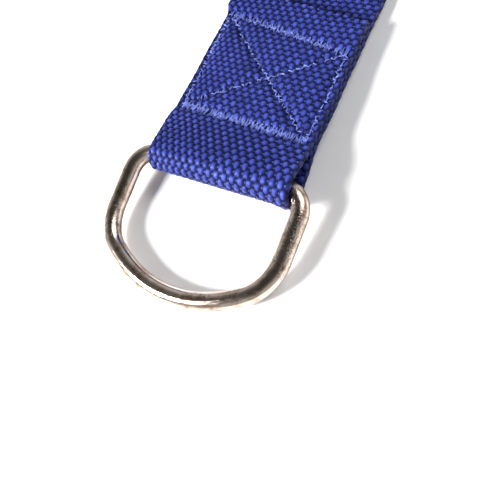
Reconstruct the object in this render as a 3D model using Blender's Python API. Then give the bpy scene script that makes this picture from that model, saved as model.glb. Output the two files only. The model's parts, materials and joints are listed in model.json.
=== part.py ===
"""Gait belt: one webbing strap looped and sewn round a D-ring, the rest of it rolled up.

Metres, +Z up. The strap lies along Y on the plane Z = 0, with the D-ring at its -Y end and its
roll at +Y. The origin is the middle of the footprint. The sewn end is stiff, so it rises in a
straight line from the flex line to the ring's bar, which its loop holds clear of the ground.
"""

import math

import bmesh
import bpy
import numpy as np

# Webbing: nominal 50 mm heavy woven strap.
WEB_WIDTH = 0.050
WEB_THICK = 0.0023
STRAP_LENGTH = 1.52  # from the ring's bow to the tail's end, about 60 in
SELVAGE_CHAMFER = 0.0006
SELVAGE_THICK_SHARE = 0.55
GAP = 0.0003  # left between touching pieces

# D-ring: one closed wire in a flat D. Radii and lengths are of the wire's centreline.
WIRE = 0.0055
RING_INNER_WIDTH = 0.0525
RING_CORNER_RADIUS = 0.0075
RING_ARM_LENGTH = 0.019  # from the bar's axis to where the arms stop being straight
RING_BEND_RADIUS = 0.0155
RING_BEND_ANGLE = math.radians(54)
RING_WIRE_RESOLUTION = 4

# The webbing's loop round the bar is wider at its edges, where the ring's corners begin.
LOOP_RADIUS_MIDDLE = 0.0032  # inner radii
LOOP_RADIUS_EDGE = 0.0043
LOOP_FLARE_START = 0.017  # distance from the strap's middle
LOOP_RUN_OUT = 0.016  # length over which the two layers close behind the bar

# Places along the strap, measured from the bar's axis.
FLAP_END = 0.0598  # at the strap's middle
FLAP_END_SLOPE = -0.17  # the cut isn't square
FLEX_AXIS = 0.080
FLEX_GAP = 0.0015  # each side of the flex axis
ROLL_CENTRE = 0.130

# Box-and-cross seam: the threads lie in grooves that they pull into both faces. The box was
# sewn a little askew; its corners are (x, place along the strap), counter-clockwise.
BOX_CORNERS = ((-0.0222, 0.0184), (0.0224, 0.0156), (0.0222, 0.0446), (-0.0225, 0.0532))
THREAD_WIDTH = 0.0010
THREAD_THICK = 0.00045

# Roll
ROLL_PITCH = 0.0025
ROLL_EYE_RADIUS = 0.0075
ROLL_STEPS_PER_TURN = 28

# Worked out from the above.
RING_HALF_WIDTH = (RING_INNER_WIDTH + WIRE) / 2
RING_BOW_RADIUS = RING_BEND_RADIUS + (RING_HALF_WIDTH - RING_BEND_RADIUS) / math.cos(RING_BEND_ANGLE)
RING_BOW_CENTRE = (RING_BOW_RADIUS - RING_BEND_RADIUS) * math.sin(RING_BEND_ANGLE) - RING_ARM_LENGTH
RING_DEPTH = RING_BOW_RADIUS - RING_BOW_CENTRE
FLEX_Z = WEB_THICK / 2
LAYERS_MEET_Z = WEB_THICK + GAP / 2  # and the bar's height above a sewn end that lies flat
BAR_Z = WEB_THICK + LOOP_RADIUS_EDGE  # the loop rests on the ground
SEWN_END_LIFT = math.asin((BAR_Z - FLEX_Z) / math.hypot(FLEX_AXIS, LAYERS_MEET_Z - FLEX_Z)) - math.atan2(
    LAYERS_MEET_Z - FLEX_Z, FLEX_AXIS
)
BAR_SETBACK = FLEX_AXIS * math.cos(SEWN_END_LIFT) - (LAYERS_MEET_Z - FLEX_Z) * math.sin(SEWN_END_LIFT)
RING_TILT = math.asin((BAR_Z - WIRE / 2) / RING_DEPTH)  # the bow rests on the ground
RING_REACH = RING_DEPTH * math.cos(RING_TILT) + WIRE / 2
FLAP_Z = 1.5 * WEB_THICK + GAP  # middle of the upper layer where the seam holds it down
ROLL_LENGTH = STRAP_LENGTH - RING_REACH - ROLL_CENTRE
ROLL_RADIUS = math.sqrt(ROLL_EYE_RADIUS**2 + ROLL_LENGTH * ROLL_PITCH / math.pi)
ROLL_TURNS = (ROLL_RADIUS - ROLL_EYE_RADIUS) / ROLL_PITCH
ROLL_REACH = ROLL_CENTRE - FLEX_AXIS + ROLL_RADIUS + WEB_THICK / 2
FLEX_Y = (BAR_SETBACK + RING_REACH - ROLL_REACH) / 2
BAR_Y = FLEX_Y - BAR_SETBACK
PLACE_ZERO_Y = FLEX_Y - FLEX_AXIS  # where the bar's axis would be if the sewn end lay flat


def clear_scene():
    for old in list(bpy.data.objects):
        bpy.data.objects.remove(old, do_unlink=True)


def material(name, colour, roughness, metallic=0.0):
    made = bpy.data.materials.new(name)
    made.use_nodes = True
    shader = made.node_tree.nodes["Principled BSDF"]
    shader.inputs["Base Color"].default_value = (*colour, 1)
    shader.inputs["Roughness"].default_value = roughness
    shader.inputs["Metallic"].default_value = metallic
    return made


def add_object(name, data, look=None, pivot=None):
    """Data modelled in world places; under a pivot, it turns about the pivot's origin."""
    made = bpy.data.objects.new(name, data)
    bpy.context.collection.objects.link(made)
    if look:
        data.materials.append(look)
    if pivot:
        made.parent = pivot
        made.matrix_parent_inverse = pivot.matrix_world.inverted()
    return made


def add_pivot(name, location):
    """An empty on a joint's axis, which carries what moves about it."""
    pivot = bpy.data.objects.new(name, None)
    bpy.context.collection.objects.link(pivot)
    pivot.location = location
    return pivot


def mesh_from(name, shape, sharp_from=math.radians(40)):
    bmesh.ops.recalc_face_normals(shape, faces=shape.faces)
    mesh = bpy.data.meshes.new(name)
    shape.to_mesh(mesh)
    shape.free()
    mesh.shade_smooth()
    mesh.set_sharp_from_angle(angle=sharp_from)
    return mesh


def smooth_step(share):
    share = np.clip(share, 0, 1)
    return share * share * (3 - 2 * share)


def strap_columns(inner=()):
    """(x, half thickness) across the strap, thinner at its selvages."""
    half = WEB_WIDTH / 2
    thin = SELVAGE_THICK_SHARE * WEB_THICK / 2
    right = [(x, WEB_THICK / 2) for x in inner if x > 0]
    right += [(half - SELVAGE_CHAMFER, WEB_THICK / 2), (half, thin)]
    middle = [(0.0, WEB_THICK / 2)] if inner else []
    left = [(-x, thick) for x, thick in reversed(right)]
    return left + middle + right


def strip_mesh(name, path, columns):
    """A closed strap whose middle follows path(x), an array of (y, z), at each column x."""
    shape = bmesh.new()
    upper, lower = [], []
    for x, half_thick in columns:
        points = path(x)
        along = np.gradient(points, axis=0)
        along /= np.linalg.norm(along, axis=1)[:, None]
        out = np.stack([along[:, 1], -along[:, 0]], axis=1) * half_thick
        upper.append([shape.verts.new((x, y, z)) for y, z in points + out])
        lower.append([shape.verts.new((x, y, z)) for y, z in points - out])
    for side in (upper, lower):
        for left, right in zip(side, side[1:]):
            for i in range(len(left) - 1):
                shape.faces.new((left[i], left[i + 1], right[i + 1], right[i]))
    for top, bottom in ((upper[0], lower[0]), (upper[-1], lower[-1])):
        for i in range(len(top) - 1):
            shape.faces.new((top[i], top[i + 1], bottom[i + 1], bottom[i]))
    for end in (0, -1):
        for j in range(len(columns) - 1):
            shape.faces.new((upper[j][end], upper[j + 1][end], lower[j + 1][end], lower[j][end]))
    return mesh_from(name, shape)


def loop_radius(x):
    """Inner radius of the webbing's loop at x."""
    flare = smooth_step((abs(x) - LOOP_FLARE_START) / (WEB_WIDTH / 2 - LOOP_FLARE_START))
    return LOOP_RADIUS_MIDDLE + (LOOP_RADIUS_EDGE - LOOP_RADIUS_MIDDLE) * flare


def flap_end(x):
    return FLAP_END + FLAP_END_SLOPE * x


def ring_end_path(x):
    """From the flex axis along the lower layer, round the bar and back to the flap's end, laid flat."""
    radius = loop_radius(x) + WEB_THICK / 2
    closing = np.linspace(1, 0, 9)
    settle = 1 - smooth_step(closing)
    flat_y = np.linspace(FLEX_AXIS - FLEX_GAP, LOOP_RUN_OUT, 5)[:-1]
    flat = np.stack([flat_y, np.full(len(flat_y), WEB_THICK / 2)], axis=1)
    low_z = WEB_THICK / 2 + (LAYERS_MEET_Z - radius - WEB_THICK / 2) * settle
    low = np.stack([closing * LOOP_RUN_OUT, low_z], axis=1)
    turn = np.linspace(-math.pi / 2, -3 * math.pi / 2, 17)[1:-1]
    nose = np.stack([radius * np.cos(turn), LAYERS_MEET_Z + radius * np.sin(turn)], axis=1)
    high_z = FLAP_Z + (LAYERS_MEET_Z + radius - FLAP_Z) * settle
    high = np.stack([closing * LOOP_RUN_OUT, high_z], axis=1)[::-1]
    flap_y = np.linspace(LOOP_RUN_OUT, flap_end(x), 4)[1:]
    flap = np.stack([flap_y, np.full(len(flap_y), FLAP_Z)], axis=1)
    return np.concatenate([flat, low, nose, high, flap]) + (PLACE_ZERO_Y, 0)


def run_path(_x):
    """The flat single layer between the flex axis and the roll."""
    y = np.array([FLEX_AXIS + FLEX_GAP, ROLL_CENTRE - GAP]) + PLACE_ZERO_Y
    return np.stack([y, np.full(2, WEB_THICK / 2)], axis=1)


def roll_path(_x):
    """A spiral from the roll's lowest line inwards to the tail's end."""
    steps = round(ROLL_TURNS * ROLL_STEPS_PER_TURN)
    turned = np.linspace(0, ROLL_TURNS * 2 * math.pi, steps + 1)
    radius = ROLL_RADIUS - ROLL_PITCH * turned / (2 * math.pi)
    y = PLACE_ZERO_Y + ROLL_CENTRE + radius * np.sin(turned)
    z = ROLL_RADIUS + WEB_THICK / 2 - radius * np.cos(turned)
    return np.stack([y, z], axis=1)


def arc(centre, radius, start, end, steps):
    """Points from the angle start to the angle end, in radians from +X."""
    angles = np.linspace(start, end, steps + 1)
    return [(centre[0] + radius * math.cos(a), centre[1] + radius * math.sin(a)) for a in angles]


def ring_half_outline():
    """The +X half of the wire's centreline, from beside the bar's middle to the bow's lowest point."""
    corner_x = RING_HALF_WIDTH - RING_CORNER_RADIUS
    bend_x = RING_HALF_WIDTH - RING_BEND_RADIUS
    half = [(corner_x / 2, 0.0)]
    half += arc((corner_x, -RING_CORNER_RADIUS), RING_CORNER_RADIUS, math.pi / 2, 0, 8)
    half += arc((bend_x, -RING_ARM_LENGTH), RING_BEND_RADIUS, 0, -RING_BEND_ANGLE, 8)
    half += arc((0, RING_BOW_CENTRE), RING_BOW_RADIUS, -RING_BEND_ANGLE, -math.pi / 2, 8)[1:]
    return half


def ring_curve():
    """The D-ring's wire in its own plane, with the bar's axis on the object's X axis."""
    right = ring_half_outline()
    left = [(-x, y) for x, y in reversed(right[:-1])]
    outline = right + left
    curve = bpy.data.curves.new("d_ring", "CURVE")
    curve.dimensions = "3D"
    curve.twist_mode = "Z_UP"
    curve.bevel_depth = WIRE / 2
    curve.bevel_resolution = RING_WIRE_RESOLUTION
    spline = curve.splines.new("POLY")
    spline.points.add(len(outline) - 1)
    for point, (x, y) in zip(spline.points, outline):
        point.co = (x, y, 0, 1)
    spline.use_cyclic_u = True
    spline.use_smooth = True
    return curve


def extruded(name, loops, low, high):
    """A closed body between two heights. Two loops make a frame, one makes a plain outline."""
    shape = bmesh.new()
    rims = []
    for z in (low, high):
        rims.append([[shape.verts.new((x, y, z)) for x, y in loop] for loop in loops])
    for below, above in zip(rims[0], rims[1]):
        for i in range(len(below)):
            k = (i + 1) % len(below)
            shape.faces.new((below[i], below[k], above[k], above[i]))
    for rim in rims:
        if len(rim) == 1:
            shape.faces.new(rim[0])
            continue
        for i in range(len(rim[0])):
            k = (i + 1) % len(rim[0])
            shape.faces.new((rim[0][i], rim[0][k], rim[1][k], rim[1][i]))
    return mesh_from(name, shape)


def box_corners():
    return [np.array([x, place + PLACE_ZERO_Y]) for x, place in BOX_CORNERS]


def moved_out(corners, distance):
    """The convex outline's corners after each side has moved out by distance."""
    moved = []
    for before, corner, after in zip(corners[-1:] + corners[:-1], corners, corners[1:] + corners[:1]):
        arriving = (corner - before) / np.linalg.norm(corner - before)
        leaving = (after - corner) / np.linalg.norm(after - corner)
        outward = np.array([arriving[1] + leaving[1], -arriving[0] - leaving[0]])
        moved.append(corner + outward * distance / (1 + arriving @ leaving))
    return moved


def box_loops(grow=0.0):
    """Outer and inner outline of the seam's box line, widened by grow on each side."""
    side = THREAD_WIDTH / 2 + grow
    return [moved_out(box_corners(), side), moved_out(box_corners(), -side)]


def crossing_point(corners):
    """Where the lines between opposite corners meet."""
    first = corners[2] - corners[0]
    second = corners[3] - corners[1]
    shares = np.linalg.solve(np.stack([first, -second], axis=1), corners[1] - corners[0])
    return corners[0] + first * shares[0]


def cross_loops(grow=0.0):
    """Outline of the seam's two diagonals, which stop short of the box line."""
    side = THREAD_WIDTH / 2 + grow
    middle = crossing_point(box_corners())
    arms = [corner - middle for corner in moved_out(box_corners(), -THREAD_WIDTH / 2)]
    outline = []
    for arm, following in zip(arms, arms[1:] + arms[:1]):
        reach = np.linalg.norm(arm) - THREAD_WIDTH / 2 - 4 * GAP + grow
        along = arm / np.linalg.norm(arm)
        across = np.array([-along[1], along[0]])
        outline.append(middle + along * reach - across * side)
        outline.append(middle + along * reach + across * side)
        between = along + following / np.linalg.norm(following)
        half_angle = math.acos(np.linalg.norm(between) / 2)
        outline.append(middle + between / np.linalg.norm(between) * side / math.sin(half_angle))
    return [outline]


def groove(target, name, loops, low, high, pivot):
    """Cuts a seam line's groove into target, with a hidden cutter."""
    cutter = add_object(name, extruded(name, loops, low, high), pivot=pivot)
    cutter.hide_render = True
    cutter.display_type = "WIRE"
    cut = target.modifiers.new(name, "BOOLEAN")
    cut.operation = "DIFFERENCE"
    cut.solver = "EXACT"
    cut.object = cutter


def add_seam(strap, look, pivot):
    """Needle thread in the upper face and bobbin thread in the underside, box line and cross."""
    top = FLAP_Z + WEB_THICK / 2
    depth = THREAD_THICK + GAP
    beyond = THREAD_THICK
    faces = (
        ("needle", top - depth, top + beyond, top - THREAD_THICK, top),
        ("bobbin", -beyond, depth, GAP / 3, GAP / 3 + THREAD_THICK),
    )
    for thread, cut_low, cut_high, low, high in faces:
        for line, loops in (("box", box_loops), ("cross", cross_loops)):
            groove(strap, f"{line}_{thread}_groove", loops(GAP), cut_low, cut_high, pivot)
            name = f"{line}_seam_{thread}_thread"
            add_object(name, extruded(name, loops(), low, high), look, pivot)


def build():
    clear_scene()
    webbing = material("webbing_blue", (0.035, 0.045, 0.32), 0.55)
    thread = material("thread_blue", (0.12, 0.16, 0.55), 0.45)
    nickel = material("ring_nickel", (0.62, 0.56, 0.50), 0.22, 1.0)

    flex_pivot = add_pivot("flex_pivot", (0, FLEX_Y, FLEX_Z))
    bpy.context.view_layer.update()

    flare = WEB_WIDTH / 2 - LOOP_FLARE_START
    flare_columns = [LOOP_FLARE_START + flare * share for share in (0, 0.3, 0.55, 0.8)]
    ring_end = strip_mesh("webbing_ring_end", ring_end_path, strap_columns(flare_columns))
    strap = add_object("webbing_ring_end", ring_end, webbing, flex_pivot)
    add_seam(strap, thread, flex_pivot)
    flex_pivot.rotation_euler = (-SEWN_END_LIFT, 0, 0)

    add_object("webbing_run", strip_mesh("webbing_run", run_path, strap_columns()), webbing)
    add_object("webbing_roll", strip_mesh("webbing_roll", roll_path, strap_columns()), webbing)

    ring = add_object("d_ring", ring_curve(), nickel)
    ring.location = (0, BAR_Y, BAR_Z)
    ring.rotation_euler = (RING_TILT, 0, 0)


build()
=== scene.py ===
import json
import math

import bpy
import numpy as np
from mathutils import Matrix, Vector


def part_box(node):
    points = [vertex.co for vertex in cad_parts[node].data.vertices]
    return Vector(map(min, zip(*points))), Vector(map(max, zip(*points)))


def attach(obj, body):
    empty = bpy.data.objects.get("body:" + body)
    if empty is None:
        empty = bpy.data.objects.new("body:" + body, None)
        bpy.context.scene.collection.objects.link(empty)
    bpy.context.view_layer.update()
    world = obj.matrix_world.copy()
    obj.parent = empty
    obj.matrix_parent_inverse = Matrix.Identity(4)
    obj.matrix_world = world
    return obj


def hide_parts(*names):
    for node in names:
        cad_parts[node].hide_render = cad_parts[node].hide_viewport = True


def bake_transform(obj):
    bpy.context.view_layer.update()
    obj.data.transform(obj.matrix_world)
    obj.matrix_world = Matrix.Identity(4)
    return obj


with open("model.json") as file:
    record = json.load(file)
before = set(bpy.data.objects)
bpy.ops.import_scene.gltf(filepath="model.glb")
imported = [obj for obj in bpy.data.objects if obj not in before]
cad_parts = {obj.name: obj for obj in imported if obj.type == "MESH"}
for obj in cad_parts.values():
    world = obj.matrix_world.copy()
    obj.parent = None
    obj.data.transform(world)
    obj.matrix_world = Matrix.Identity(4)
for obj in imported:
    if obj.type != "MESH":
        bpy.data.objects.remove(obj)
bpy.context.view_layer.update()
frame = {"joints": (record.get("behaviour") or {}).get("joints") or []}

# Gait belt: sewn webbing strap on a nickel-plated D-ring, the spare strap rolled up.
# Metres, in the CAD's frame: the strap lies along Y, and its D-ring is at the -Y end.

MM = 0.001

# ---- places taken from the frame

JOINTS = {joint["name"]: joint for joint in frame["joints"]}
FLEX = Vector(JOINTS["strap_flex"]["pos_m"])
BAR = Vector(JOINTS["ring_swing"]["pos_m"])
RUN_LOW, RUN_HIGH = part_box("webbing_run")
ROLL_LOW, ROLL_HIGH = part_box("webbing_roll")
RING_LOW, RING_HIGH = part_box("d_ring")

WEB_WIDTH = RUN_HIGH.x - RUN_LOW.x
WEB_THICK = RUN_HIGH.z - RUN_LOW.z
HALF_WIDTH = WEB_WIDTH / 2
GAP = 0.3 * MM

# The sewn end rises in a straight line from the flex line to the bar. It is worked out lying
# flat, with places measured from PLACE_ZERO_Y, and then turned up about the flex line.
LAYERS_MEET_Z = WEB_THICK + GAP / 2
BAR_ABOVE_FLEX = LAYERS_MEET_Z - FLEX.z
FLEX_PLACE = math.sqrt((BAR.y - FLEX.y) ** 2 + (BAR.z - FLEX.z) ** 2 - BAR_ABOVE_FLEX ** 2)
SEWN_END_LIFT = math.atan2(BAR.z - FLEX.z, FLEX.y - BAR.y) - math.atan2(BAR_ABOVE_FLEX, FLEX_PLACE)
PLACE_ZERO_Y = FLEX.y - FLEX_PLACE
BEND_REACH = 14 * MM  # the strap bends this far each side of the flex line

# ---- the strap's form

CORE_THICK = 1.62 * MM  # between the floors of the weave's gaps
WARP_PITCH = 1.33 * MM  # across, from one warp yarn to the next
WEFT_PITCH = 1.84 * MM  # along, from one row of floats to the next
FLOAT_HALF_WIDTH = 0.97 * MM
FLOAT_HALF_LENGTH = 1.06 * MM
FLOAT_POWER = 2.5  # a little squarer than an ellipse
FLOAT_FLATNESS = 0.40  # 0.5 is a round dome, less has a flatter crown and steeper sides
FLOAT_HEIGHT = 0.62 * MM
SPECK_HALF_WIDTH = 0.32 * MM  # the bit of weft that shows between the floats
SPECK_HALF_LENGTH = 0.30 * MM
SPECK_HEIGHT = 0.20 * MM
EDGE_ROUND = 0.8 * MM
EDGE_STEPS = 5
COLUMNS_PER_YARN = 4
ROWS_PER_FLOAT = 4

LOOP_RADIUS = 2.9 * MM  # inside the loop, round the bar's middle
LOOP_RADIUS_EDGE = 3.45 * MM  # and at the +X selvage, where the ring's corner turns
LOOP_FLARE_START = 18.5 * MM
LOOP_RUN_OUT = 16 * MM
FLAP_MIDDLE_Z = 1.5 * WEB_THICK + GAP
FLAP_END = 59.8 * MM  # from the bar's axis, at the strap's middle
FLAP_END_SLOPE = -0.17  # the cut isn't square
FLAP_LIFT = 0.2 * MM
FLAP_END_UNEVEN = 0.22 * MM
CUT_BULGE = 0.35 * MM
FLAP_PUFF = 0.38 * MM  # between the seam's lines
PUFF_REACH = 3.6 * MM
SEWN_FLATTENING = 0.22  # share of their height that the flap's floats lose where it is sewn
RUN_RIPPLE = 0.12 * MM
RUN_RIPPLE_FROM, RUN_RIPPLE_REACH = 60 * MM, 15 * MM
YARN_WANDER = 0.07 * MM
ROW_WANDER = 0.16 * MM
EDGE_WANDER = 0.18 * MM

# Seam corners as (x, place along the strap from the bar's axis).
SEAM_NEAR_LEFT = (-22.4 * MM, 17.2 * MM)
SEAM_NEAR_RIGHT = (22.9 * MM, 13.8 * MM)
SEAM_FAR_RIGHT = (22.9 * MM, 44.3 * MM)
SEAM_FAR_LEFT = (-23.2 * MM, 53.8 * MM)
SEAM_DEPTH = 0.75 * MM
SEAM_HALF_WIDTH = 1.35 * MM
UNDERSIDE_SEAM_SHARE = 0.6  # of the seam's depth on the flap
SEWN_FROM, SEWN_FROM_REACH = 10 * MM, 7 * MM
SEWN_TO, SEWN_TO_REACH = 50 * MM, 8 * MM
WAIST_LEFT = 1.8 * MM  # how far the seam draws the upper layer's edges in
WAIST_RIGHT = 0.25 * MM
NECK_LEFT = 2.8 * MM  # and how far the ring's corners push the loop's edges in
NECK_RIGHT = -0.4 * MM  # outwards
NECK_REACH = 19 * MM
PINCH = 0.7 * MM  # where the far line of the seam meets the -X edge
PINCH_PLACE = 54 * MM
PINCH_REACH = 2.5 * MM
SELVAGE_LUMP = 0.06 * MM
SELVAGE_WANDER = 0.05 * MM
SELVAGE_BULGE = 0.2  # share of the floats' height that stands out sideways
SEAM_SHADE = 0.5
SEAM_CLEAR_OF_CUT = 4 * MM  # the groove fades out over this length before the cut end

# ---- the ring's form

WIRE_RADIUS = 2.75 * MM
RING_CORNER_RADIUS = 7.5 * MM
RING_ARM_LENGTH = 19 * MM
RING_BEND_RADIUS = 15.5 * MM
RING_BEND_ANGLE = math.radians(54)
RING_HALF_WIDTH = RING_HIGH.x - WIRE_RADIUS

# ---- small tools


def smooth_step(share):
    share = np.clip(share, 0, 1)
    return share * share * (3 - 2 * share)


def near(distance, reach):
    """1 at no distance, falling smoothly to 0 over a few times the reach."""
    return np.exp(-((distance / reach) ** 2))


def unit(vectors):
    return vectors / np.maximum(np.linalg.norm(vectors, axis=-1, keepdims=True), 1e-12)


def sway(values, lengths, seed):
    """A smooth, repeatable wander between about -1 and 1, made of one sine for each length."""
    draw = np.random.default_rng(seed)
    total = np.zeros_like(values)
    for length in lengths:
        total = total + np.sin(values * (2 * math.pi / length) + draw.uniform(0, 2 * math.pi))
    return total / len(lengths)


def quads(index):
    """Quad faces over a grid of vertex numbers."""
    corners = (index[:-1, :-1], index[1:, :-1], index[1:, 1:], index[:-1, 1:])
    return np.stack([c.ravel() for c in corners], axis=1)


def mesh_object(name, points, faces, smooth=True):
    mesh = bpy.data.meshes.new(name)
    mesh.from_pydata(np.asarray(points).tolist(), [], [f for group in faces for f in group.tolist()])
    mesh.polygons.foreach_set("use_smooth", [smooth] * len(mesh.polygons))
    mesh.update()
    made = bpy.data.objects.new(name, mesh)
    bpy.context.scene.collection.objects.link(made)
    return made


def store(obj, name, vectors):
    """Keeps one vector for each vertex, which the materials read by name."""
    attribute = obj.data.attributes.new(name, "FLOAT_VECTOR", "POINT")
    attribute.data.foreach_set("vector", np.asarray(vectors, np.float32).ravel())


# ---- camera, lights, floor

VIEW_AZIMUTH = math.radians(66.75)
VIEW_ELEVATION = math.radians(62.6)
VIEW_ROLL = math.radians(45.0)
VIEW_DISTANCE = 137.5 * MM
VIEW_TARGET = Vector((19.3 * MM, BAR.y - 19.3 * MM, 5.0 * MM))
VIEW_LENS = 36.6
SENSOR_WIDTH = 36
FLOOR_HALF_SIZE = 4.0
FLOOR_Z = -0.6 * MM  # just under the lowest floats
FLOOR_TONES = ((0.3, (0.90, 0.90, 0.905)), (0.7, (0.93, 0.93, 0.93)))
# Brightness of the world by height: pale all round, dim overhead.
SKY_STOPS = ((0.0, 1.0), (0.45, 1.0), (0.66, 0.42), (0.92, 0.09))
SKY_STRENGTH = 0.65


def towards(azimuth, elevation):
    """Direction to a viewer or lamp: azimuth 0 is in front, at -Y, and 90 degrees is at +X."""
    level = math.cos(elevation)
    return Vector((math.sin(azimuth) * level, -math.cos(azimuth) * level, math.sin(elevation)))


def make_camera():
    back = towards(VIEW_AZIMUTH, VIEW_ELEVATION)
    level_right = Vector((math.cos(VIEW_AZIMUTH), math.sin(VIEW_AZIMUTH), 0))
    level_up = back.cross(level_right)
    up = level_up * math.cos(VIEW_ROLL) + level_right * math.sin(VIEW_ROLL)
    right = up.cross(back)
    camera = bpy.data.objects.new("camera", bpy.data.cameras.new("camera"))
    camera.data.lens = VIEW_LENS
    camera.data.sensor_width = SENSOR_WIDTH
    camera.data.clip_start = 0.001
    camera.data.clip_end = 20
    turn = Matrix((right, up, back)).transposed().to_4x4()
    camera.matrix_world = Matrix.Translation(VIEW_TARGET + back * VIEW_DISTANCE) @ turn
    bpy.context.scene.collection.objects.link(camera)
    bpy.context.scene.camera = camera


def add_area_light(name, azimuth, elevation, distance, size, watts):
    back = towards(math.radians(azimuth), math.radians(elevation))
    light = bpy.data.lights.new(name, "AREA")
    light.shape = "DISK"
    light.size = size
    light.energy = watts
    lamp = bpy.data.objects.new(name, light)
    lamp.location = Vector((0, BAR.y, 0)) + back * distance
    lamp.rotation_euler = back.to_track_quat("Z", "Y").to_euler()
    bpy.context.scene.collection.objects.link(lamp)


def make_lights():
    """A fairly low soft key from the ring's end on the strap's -X side, with weak fill opposite."""
    add_area_light("key", azimuth=-45, elevation=34, distance=1.0, size=0.36, watts=33)
    add_area_light("fill", azimuth=150, elevation=42, distance=1.4, size=0.9, watts=11)


def set_stops(ramp, stops):
    while len(ramp.color_ramp.elements) < len(stops):
        ramp.color_ramp.elements.new(0.5)
    for element, (position, colour) in zip(ramp.color_ramp.elements, stops):
        element.position = position
        element.color = (*colour, 1)


def make_world():
    """Pale all round and dimmer overhead, as in a light tent seen through its top opening."""
    world = bpy.data.worlds.new("studio")
    world.use_nodes = True
    tree = world.node_tree
    background = tree.nodes["Background"]
    place = tree.nodes.new("ShaderNodeTexCoord")
    split = tree.nodes.new("ShaderNodeSeparateXYZ")
    ramp = tree.nodes.new("ShaderNodeValToRGB")
    set_stops(ramp, [(position, (grey, grey, grey)) for position, grey in SKY_STOPS])
    tree.links.new(place.outputs["Generated"], split.inputs[0])
    tree.links.new(split.outputs["Z"], ramp.inputs[0])
    tree.links.new(ramp.outputs[0], background.inputs["Color"])
    background.inputs["Strength"].default_value = SKY_STRENGTH
    bpy.context.scene.world = world


def make_floor():
    size = FLOOR_HALF_SIZE
    corners = [(-size, -size), (size, -size), (size, size), (-size, size)]
    points = [(x, y, FLOOR_Z) for x, y in corners]
    floor = mesh_object("floor", points, [np.array([[0, 1, 2, 3]])], smooth=False)
    look = Look("floor_pale")
    grain = look.noise(look.object_place(), 60, 3)
    look.set("Base Color", look.ramp(grain, FLOOR_TONES))
    look.set("Roughness", 0.85)
    look.set("Specular IOR Level", 0.2)
    floor.data.materials.append(look.material)


# ---- materials


class Look:
    """A material with short calls for the nodes that it uses."""

    def __init__(self, name):
        self.material = bpy.data.materials.new(name)
        self.material.use_nodes = True
        self.tree = self.material.node_tree
        self.shader = self.tree.nodes["Principled BSDF"]

    def link(self, source, socket):
        """Links a node's output, or puts a uniform value on the socket itself."""
        if hasattr(source, "is_output"):
            self.tree.links.new(source, socket)
        elif isinstance(source, tuple) and len(source) == 3 and len(socket.default_value) == 4:
            socket.default_value = (*source, 1)
        else:
            socket.default_value = source

    def set(self, socket, source):
        self.link(source, self.shader.inputs[socket])

    def math(self, operation, *values):
        node = self.tree.nodes.new("ShaderNodeMath")
        node.operation = operation
        for value, socket in zip(values, node.inputs):
            self.link(value, socket)
        return node.outputs[0]

    def times(self, first, second):
        return self.math("MULTIPLY", first, second)

    def mix(self, share, first, second, blend="MIX"):
        node = self.tree.nodes.new("ShaderNodeMix")
        node.data_type = "RGBA"
        node.blend_type = blend
        self.link(share, node.inputs["Factor"])
        self.link(first, node.inputs[6])
        self.link(second, node.inputs[7])
        return node.outputs[2]

    def ramp(self, value, stops):
        node = self.tree.nodes.new("ShaderNodeValToRGB")
        set_stops(node, stops)
        self.link(value, node.inputs[0])
        return node.outputs[0]

    def curve(self, value, low, high, out_low, out_high):
        node = self.tree.nodes.new("ShaderNodeMapRange")
        node.interpolation_type = "SMOOTHSTEP"
        for source, socket in zip((value, low, high, out_low, out_high), node.inputs):
            self.link(source, socket)
        return node.outputs[0]

    def noise(self, place, scale, detail, rough=0.5):
        node = self.tree.nodes.new("ShaderNodeTexNoise")
        self.link(place, node.inputs["Vector"])
        node.inputs["Scale"].default_value = scale
        node.inputs["Detail"].default_value = detail
        node.inputs["Roughness"].default_value = rough
        return node.outputs["Fac"]

    def speckle(self, place):
        node = self.tree.nodes.new("ShaderNodeTexWhiteNoise")
        self.link(place, node.inputs["Vector"])
        return node.outputs["Value"]

    def object_place(self):
        return self.tree.nodes.new("ShaderNodeTexCoord").outputs["Object"]

    def stored(self, name):
        node = self.tree.nodes.new("ShaderNodeAttribute")
        node.attribute_name = name
        return node.outputs["Vector"]

    def split(self, vector):
        node = self.tree.nodes.new("ShaderNodeSeparateXYZ")
        self.link(vector, node.inputs[0])
        return node.outputs

    def join(self, x, y, z=0.0):
        node = self.tree.nodes.new("ShaderNodeCombineXYZ")
        for source, socket in zip((x, y, z), node.inputs):
            self.link(source, socket)
        return node.outputs[0]

    def scaled(self, x, share_x, y, share_y, z=0.0):
        """The vector (x, y, z) with x and y stretched."""
        return self.join(self.times(x, share_x), self.times(y, share_y), z)

    def sum_of(self, *terms):
        """Adds values, each given as (value, weight)."""
        total = self.times(*terms[0])
        for term in terms[1:]:
            total = self.math("ADD", total, self.times(*term))
        return total

    def bump(self, height, distance, strength=1.0, normal=None):
        node = self.tree.nodes.new("ShaderNodeBump")
        node.inputs["Distance"].default_value = distance
        node.inputs["Strength"].default_value = strength
        self.link(height, node.inputs["Height"])
        if normal is not None:
            self.link(normal, node.inputs["Normal"])
        return node.outputs[0]


def lattice(look, value, pitch, shift):
    """(cell number, distance from the cell's centre) along one way, both in pairs of pitches."""
    along = look.math("DIVIDE", look.math("SUBTRACT", value, shift * pitch / MM), 2 * pitch / MM)
    cell = look.math("ROUND", along)
    return cell, look.math("ABSOLUTE", look.math("SUBTRACT", along, cell))


def remainder(look, first, second):
    """What is left of 1 after both shares, or 0."""
    return look.math("MAXIMUM", look.math("SUBTRACT", 1.0, look.math("ADD", first, second)), 0.0)


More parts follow.
